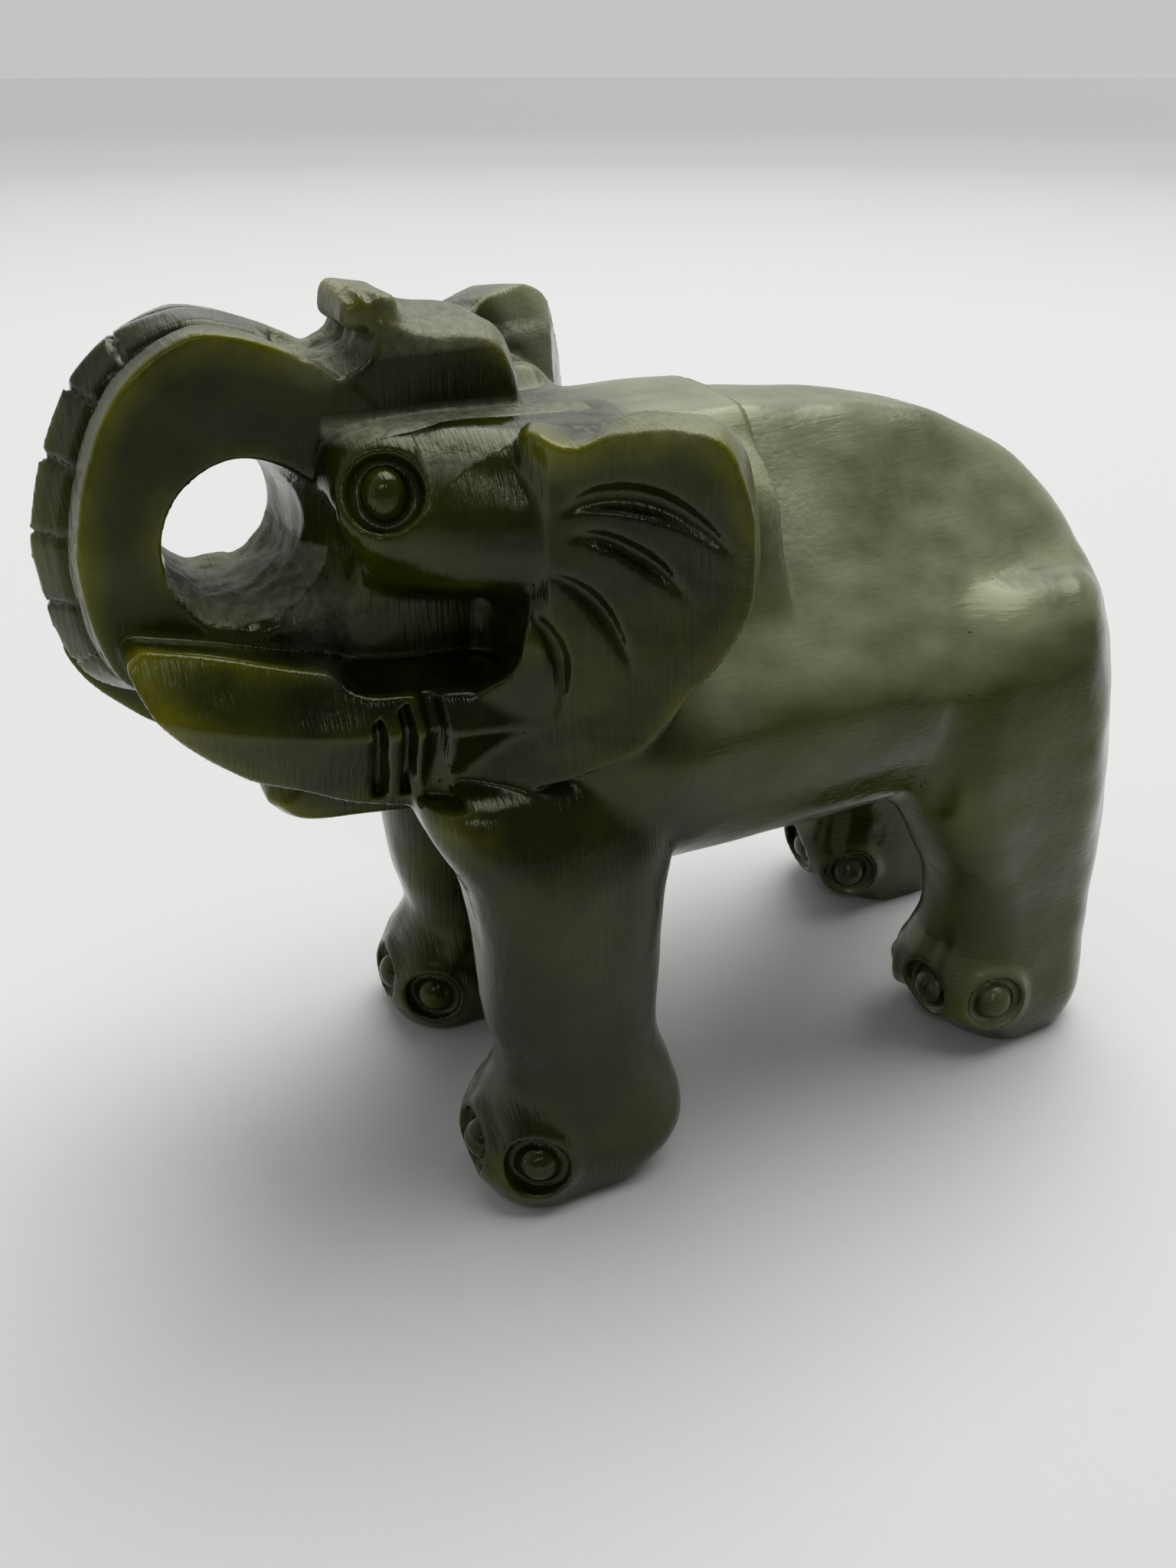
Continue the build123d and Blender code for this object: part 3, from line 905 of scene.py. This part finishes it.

# ---------------------------------------------------------------- jade
# Old nephrite, almost black where it is thick, with painted yellow-olive glow where light would come through
# an edge, and grey-green clouds with a painted pale sheen where the back faces upwards.  It is waxed and
# polished, with the tool marks left in it.


class Wire:
    """An output of a shader node that Python's own signs can do sums with."""

    def __init__(self, tree, socket=None):
        self.tree = tree
        self.socket = socket

    def node(self, kind, settings=None, sockets=None, out=0):
        """Any node: its type, its settings first, then the values or links of its sockets."""
        made = self.tree.nodes.new("ShaderNode" + kind)
        for key, value in (settings or {}).items():
            setattr(made, key, value)
        for key, value in (sockets or {}).items():
            if isinstance(value, Wire):
                self.tree.links.new(value.socket, made.inputs[key])
            else:
                made.inputs[key].default_value = value
        return Wire(self.tree, made.outputs[out] if made.outputs else None)

    def sums(self, operation, *values):
        return self.node("Math", {"operation": operation}, dict(enumerate(values)))

    def __add__(self, other):
        return self.sums("ADD", self, other)

    __radd__ = __add__

    def __sub__(self, other):
        return self.sums("SUBTRACT", self, other)

    def __rsub__(self, other):
        return self.sums("SUBTRACT", other, self)

    def __mul__(self, other):
        return self.sums("MULTIPLY", self, other)

    __rmul__ = __mul__

    def held(self):
        """Kept between 0 and 1."""
        return self.node("Math", {"operation": "ADD", "use_clamp": True}, {0: self, 1: 0.0})

    def blend(self, a, b):
        """Colour a where this is 0 and colour b where it is 1."""
        return self.node("Mix", {"data_type": "RGBA"}, {0: self, 6: a, 7: b}, 2)


def grain(w, place, scale, detail=3, stretch=(1, 1, 1), roughness=0.55):
    """Noise with its features this many to the metre."""
    laid = w.node("VectorMath", {"operation": "MULTIPLY"}, {0: place, 1: stretch})
    return w.node("TexNoise", {}, {"Vector": laid, "Scale": scale, "Detail": detail, "Roughness": roughness})


deep_green = (0.0050, 0.0082, 0.0004, 1)
dark_olive = (0.027, 0.035, 0.0012, 1)
flank_green = (0.045, 0.058, 0.0042, 1)
# yellow-olive of the painted glow, where light would shine through thin stone
painted_glow_olive = (0.175, 0.165, 0.004, 1)
# pale grey-green of the clouds, laid on as painted sheen where faces look upwards
cloud_and_sheen_grey = (0.215, 0.235, 0.135, 1)
dusty = (0.34, 0.35, 0.25, 1)
stone_index = 1.50
stone_polish = 0.11
core_polish = 0.06
tool_mark_height = 0.00022
wax_tint = (0.92, 1.0, 0.66, 1)


def jade(name, polish, cloud_and_sheen_amount):
    material = bpy.data.materials.new(name)
    material.use_nodes = True
    tree = material.node_tree
    tree.nodes.clear()
    w = Wire(tree)
    place = w.node("TexCoord", out="Object")
    thin = w.node("Attribute", {"attribute_name": "thin"}, out="Fac")
    edge = w.node("Attribute", {"attribute_name": "edge"}, out="Fac")
    unpolished = w.node("Attribute", {"attribute_name": "unpolished"}, out="Fac")
    # top: mask of the painted sheen on faces that look upwards
    top = w.node("Attribute", {"attribute_name": "painted_sheen"}, out="Fac")
    body = w.node("Attribute", {"attribute_name": "body"}, out="Fac")

    clouds = grain(w, place, 95, 5, roughness=0.6)
    fine = grain(w, place, 1400, 4)
    lengthways = (body * 3).held()
    body_marks = grain(w, place, 230, 5, (2, 1, 16))
    face_marks = grain(w, place, 230, 5, (15, 2, 1))
    scratches = body_marks * lengthways + face_marks * (1 - lengthways)
    # painted glow: yellow-olive painted where the stone is thin, and more on its outer edges (rim), as if
    # light shone through
    painted_glow = ((0.42 - thin) * 4.5 * (clouds * 3.4 - 1.1)).held()
    rim = ((0.40 - edge) * 5.0).held()
    colour = ((clouds - 0.40) * 3.6).held().blend(deep_green, dark_olive)
    colour = ((clouds * 1.6 - 0.2) * body * cloud_and_sheen_amount).held().blend(colour, flank_green)
    # painted sheen: faces that look upwards are painted paler, as if lit from above, broken up by the clouds
    colour = ((clouds * 1.9 - 0.15) * top * cloud_and_sheen_amount).held().blend(colour, cloud_and_sheen_grey)
    colour = (painted_glow * 0.8).held().blend(colour, painted_glow_olive)
    colour = (rim * painted_glow * 0.6).held().blend(colour, painted_glow_olive)
    dust = (unpolished * (fine * 1.4 - 0.1)).held()
    colour = (dust * 0.75).held().blend(colour, dusty)
    matt = polish + unpolished * 0.42 + top * 0.12
    matt = (matt + (scratches - 0.45) * 0.35 + (fine - 0.5) * 0.12).held()
    height = scratches * (0.75 - body * 0.4) + fine * (0.10 + unpolished * 2.2)
    height = height + grain(w, place, 330, 2) * 0.9
    bump = w.node("Bump", {}, {"Strength": 0.5, "Distance": tool_mark_height, "Height": height})
    surface = w.node(
        "BsdfPrincipled",
        {},
        {
            "Base Color": colour,
            "Roughness": matt,
            "Normal": bump,
            "IOR": stone_index,
            "Specular IOR Level": 0.42,
            "Specular Tint": wax_tint,
        },
    )
    w.node("OutputMaterial", {}, {"Surface": surface})
    return material


stone_jade = jade("nephrite", stone_polish, 1.0)
core_jade = jade("polished nephrite", core_polish, 0.4)
body_share = np.clip((6 - places[:, 0]) / 8, 0, 1) * np.clip((places[:, 2] - 4) / 30 + 0.35, 0, 1)
# painted sheen mask: how far each face of the body looks upwards, as if lit from above
painted_sheen_share = np.clip((normals[:, 2] - 0.22) * 2.2, 0, 1) * np.clip((9 - places[:, 0]) / 6, 0, 1)
shares = {
    "thin": thin_share,
    "edge": edge_share,
    "unpolished": unpolished_share,
    "painted_sheen": painted_sheen_share,
    "body": body_share,
}
scale_to_metres = 0.001
for label, name in enumerate(names[1:], 1):
    outward = faces[front_owner == label]
    inward = faces[back_owner == label][:, ::-1]
    quads = np.concatenate([outward, inward])
    used, corners = np.unique(quads, return_inverse=True)
    corners = corners.reshape(-1).astype(np.int32)
    mesh = bpy.data.meshes.new(name)
    mesh.vertices.add(len(used))
    mesh.vertices.foreach_set("co", (places[used] * scale_to_metres).astype(np.float32).ravel())
    mesh.loops.add(len(corners))
    mesh.loops.foreach_set("vertex_index", corners)
    mesh.polygons.add(len(quads))
    mesh.polygons.foreach_set("loop_start", np.arange(0, len(corners), 4, dtype=np.int32))
    mesh.polygons.foreach_set("loop_total", np.full(len(quads), 4, np.int32))
    mesh.update(calc_edges=True)
    mesh.polygons.foreach_set("use_smooth", np.ones(len(quads), bool))
    mesh.normals_split_custom_set_from_vertices(normals[used].astype(np.float32))
    for key, values in shares.items():
        layer = mesh.attributes.new(key, "FLOAT", "POINT")
        layer.data.foreach_set("value", values[used].astype(np.float32))
    polished = "eye" in name or "toenails" in name
    mesh.materials.append(core_jade if polished else stone_jade)
    piece = bpy.data.objects.new(f"carved_{name}", mesh)
    bpy.context.scene.collection.objects.link(piece)
    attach(piece, "root")
    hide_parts(name)

# ---------------------------------------------------------------- stage
# A broad sheet of pale paper that the elephant stands on, with painted light falloff far off and painted
# shade towards its left.  It is lit softly, from a tent overhead and a large box behind the elephant.
floor_rings = [0.05, 0.12, 0.25, 0.5, 1.0, 8.0]
floor_sides = 48
turns = [k * 2 * math.pi / floor_sides for k in range(floor_sides)]
spokes = [(math.cos(turn), math.sin(turn)) for turn in turns]
floor_points = [(0, 0, 0)] + [(r * c, r * s, 0) for r in floor_rings for c, s in spokes]
floor_faces = []
for k in range(floor_sides):
    after = (k + 1) % floor_sides
    floor_faces.append((0, 1 + k, 1 + after))
    for ring in range(len(floor_rings) - 1):
        a, b = 1 + ring * floor_sides, 1 + (ring + 1) * floor_sides
        floor_faces.append((a + k, b + k, b + after, a + after))
floor_mesh = bpy.data.meshes.new("floor")
floor_mesh.from_pydata(floor_points, [], floor_faces)
floor_paper = bpy.data.materials.new("pale paper")
floor_paper.use_nodes = True
floor_paper.node_tree.nodes.clear()
w = Wire(floor_paper.node_tree)
paper_place = w.node("TexCoord", out="Object")
fibres = grain(w, paper_place, 900, 4)
paper = fibres.blend((0.64, 0.64, 0.636, 1), (0.665, 0.665, 0.66, 1))
painted_far_falloff = (0.42, 0.425, 0.43, 1)
painted_near_shade = (0.32, 0.32, 0.32, 1)
away = w.node("VectorMath", {"operation": "LENGTH"}, {0: paper_place}, "Value")
# painted light falloff: the paper is painted darker further away
paper = ((away - 0.40) * 1.2).held().blend(paper, painted_far_falloff)
ahead = w.node("SeparateXYZ", {}, {"Vector": paper_place}, "Y")
# painted shade: the paper is painted darker towards the camera side
paper = ((ahead - 0.05) * 8.0).held().blend(paper, painted_near_shade)
paper_surface = w.node("BsdfPrincipled", {}, {"Base Color": paper, "Roughness": 0.75})
w.node("OutputMaterial", {}, {"Surface": paper_surface})
floor_mesh.materials.append(floor_paper)
floor = bpy.data.objects.new("floor", floor_mesh)
bpy.context.scene.collection.objects.link(floor)

world = bpy.data.worlds.new("studio")
bpy.context.scene.world = world
world.use_nodes = True
world.node_tree.nodes.clear()
w = Wire(world.node_tree)
sky_way = w.node("TexCoord", out="Generated")
upward = w.node("SeparateXYZ", {}, {"Vector": sky_way}, "Z")
toward = w.node("SeparateXYZ", {}, {"Vector": sky_way}, "Y")
wall_light = (0.55, 0.555, 0.565, 1)
ceiling_light = (0.42, 0.42, 0.41, 1)
dark_room = (0.11, 0.11, 0.11, 1)
sky = ((upward + 0.02) * 1.2).held().blend(wall_light, ceiling_light)
sky = ((toward + 0.15) * 1.6).held().blend(sky, dark_room)
w.node("OutputWorld", {}, {"Surface": w.node("Background", {}, {"Color": sky, "Strength": 1.0})})


def softbox(name, place, aim, size, power):
    lamp = bpy.data.lights.new(name, "AREA")
    lamp.shape = "RECTANGLE"
    lamp.size, lamp.size_y = size
    lamp.energy = power
    box = bpy.data.objects.new(name, lamp)
    box.location = place
    box.rotation_euler = (Vector(aim) - Vector(place)).to_track_quat("-Z", "Y").to_euler()
    bpy.context.scene.collection.objects.link(box)


body_middle = (0.0, 0.0, 0.036)
softbox("back softbox", (-0.5, -1.1, 1.0), body_middle, (1.6, 1.0), 4.0)
softbox("front window", (0.30, 0.50, 0.52), body_middle, (0.12, 0.10), 0.3)

tent = bpy.data.lights.new("overhead light tent", "SUN")
tent.energy = 2.6
tent.angle = math.radians(55)
tent_holder = bpy.data.objects.new("overhead light tent", tent)
tent_holder.rotation_euler = Vector((0.30, 0.15, -0.85)).to_track_quat("-Z", "Y").to_euler()
bpy.context.scene.collection.objects.link(tent_holder)

# ---------------------------------------------------------------- camera
# Stands close to the left shoulder and looks down at 30 degrees on the left side, a little from the
# front, through a wide lens.
lens_mm = 28.8
sensor_mm = 36.0
camera_place = Vector((0.0461, 0.0873, 0.085))
camera_look = Vector((-0.36599, -0.78488, -0.5))
bpy.context.scene.view_settings.view_transform = "Standard"
camera_data = bpy.data.cameras.new("camera")
camera_data.lens = lens_mm
camera_data.sensor_width = sensor_mm
camera_data.sensor_fit = "AUTO"
camera_data.clip_start = 0.005
camera = bpy.data.objects.new("camera", camera_data)
camera.location = camera_place
camera.rotation_euler = camera_look.to_track_quat("-Z", "Y").to_euler()
bpy.context.scene.collection.objects.link(camera)
bpy.context.scene.camera = camera
